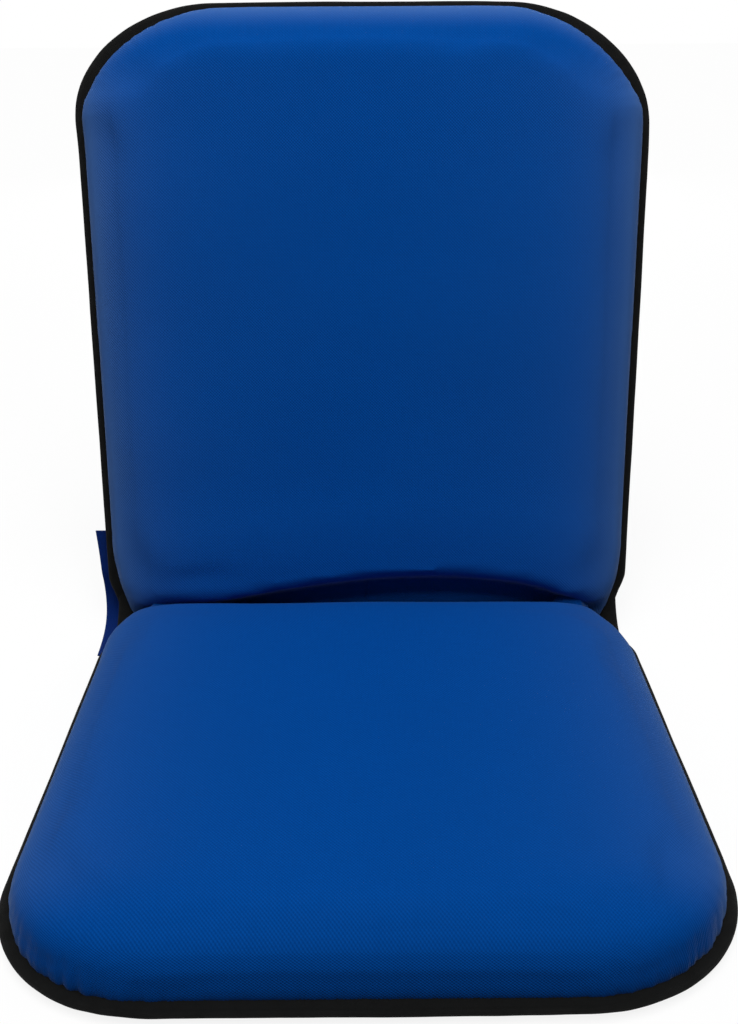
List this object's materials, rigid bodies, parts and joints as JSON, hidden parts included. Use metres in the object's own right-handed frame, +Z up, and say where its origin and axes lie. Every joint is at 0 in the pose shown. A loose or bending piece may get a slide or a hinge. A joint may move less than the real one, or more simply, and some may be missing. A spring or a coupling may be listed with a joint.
{
  "type": "folding sun lounger",
  "caption": "Legless folding sun lounger with a padded seat and a reclining padded back, bound edges and hidden ratchet hinges in the crease.",
  "frame": {"origin": "on the ground under the middle of the object's box in the pictured position", "axes": "+X across, to the right as seen from the front; +Y from the seat's front to the rear; +Z up"},
  "size_m": [0.526, 0.6258, 0.5555],
  "materials": {
    "cover_fabric": "royal blue polyester twill",
    "base_fabric": "royal blue polyester base cloth",
    "binding_tape": "black woven binding tape",
    "foam": "open cell polyurethane foam",
    "frame_steel": "black powder coat",
    "hinge_steel": "zinc plated",
    "webbing": "black elastic webbing"
  },
  "bodies": {
    "seat": {"seat_frame_tube": "frame_steel", "seat_cross_bar": "frame_steel", "seat_support_strap_1": "webbing", "seat_support_strap_2": "webbing", "seat_top_cover": "cover_fabric", "seat_foam": "foam", "seat_base_foam": "foam", "seat_bottom_cover": "base_fabric", "seat_binding": "binding_tape", "left_ratchet_plate": "hinge_steel", "right_ratchet_plate": "hinge_steel", "left_seat_rivet_1": "hinge_steel", "left_seat_rivet_2": "hinge_steel", "right_seat_rivet_1": "hinge_steel", "right_seat_rivet_2": "hinge_steel", "crease_panel": "cover_fabric", "rear_hinge_panel": "base_fabric"},
    "back": {"back_frame_tube": "frame_steel", "back_cross_bar": "frame_steel", "back_support_strap_1": "webbing", "back_support_strap_2": "webbing", "back_support_strap_3": "webbing", "back_front_cover": "cover_fabric", "back_foam": "foam", "back_base_foam": "foam", "back_rear_cover": "base_fabric", "back_binding": "binding_tape", "left_back_plate": "hinge_steel", "right_back_plate": "hinge_steel", "left_hinge_spacer": "frame_steel", "right_hinge_spacer": "frame_steel", "left_pivot_rivet": "hinge_steel", "right_pivot_rivet": "hinge_steel", "left_pawl_pin": "hinge_steel", "right_pawl_pin": "hinge_steel", "left_pawl_spring": "frame_steel", "right_pawl_spring": "frame_steel", "left_back_rivet_1": "hinge_steel", "left_back_rivet_2": "hinge_steel", "right_back_rivet_1": "hinge_steel", "right_back_rivet_2": "hinge_steel"},
    "left_pawl_body": {"left_pawl": "frame_steel"},
    "right_pawl_body": {"right_pawl": "frame_steel"}
  },
  "joints": [
    {"name": "back_fold", "type": "hinge", "parent": "seat", "child": "back", "pos_m": [0, 0.10206, 0.036], "axis": [1, 0, 0], "range_deg": [-71, 88.75], "deforming": ["crease_panel", "rear_hinge_panel"]},
    {"name": "left_pawl_turn", "type": "hinge", "parent": "back", "child": "left_pawl_body", "pos_m": [-0.1952, 0.12728, 0.03764], "axis": [1, 0, 0], "range_deg": [0, 8.08], "stiffness_Nm_per_rad": 0.02, "springref_deg": 8.59},
    {"name": "right_pawl_turn", "type": "hinge", "parent": "back", "child": "right_pawl_body", "pos_m": [0.1952, 0.12728, 0.03764], "axis": [1, 0, 0], "range_deg": [0, 8.08], "stiffness_Nm_per_rad": 0.02, "springref_deg": 8.59}
  ]
}
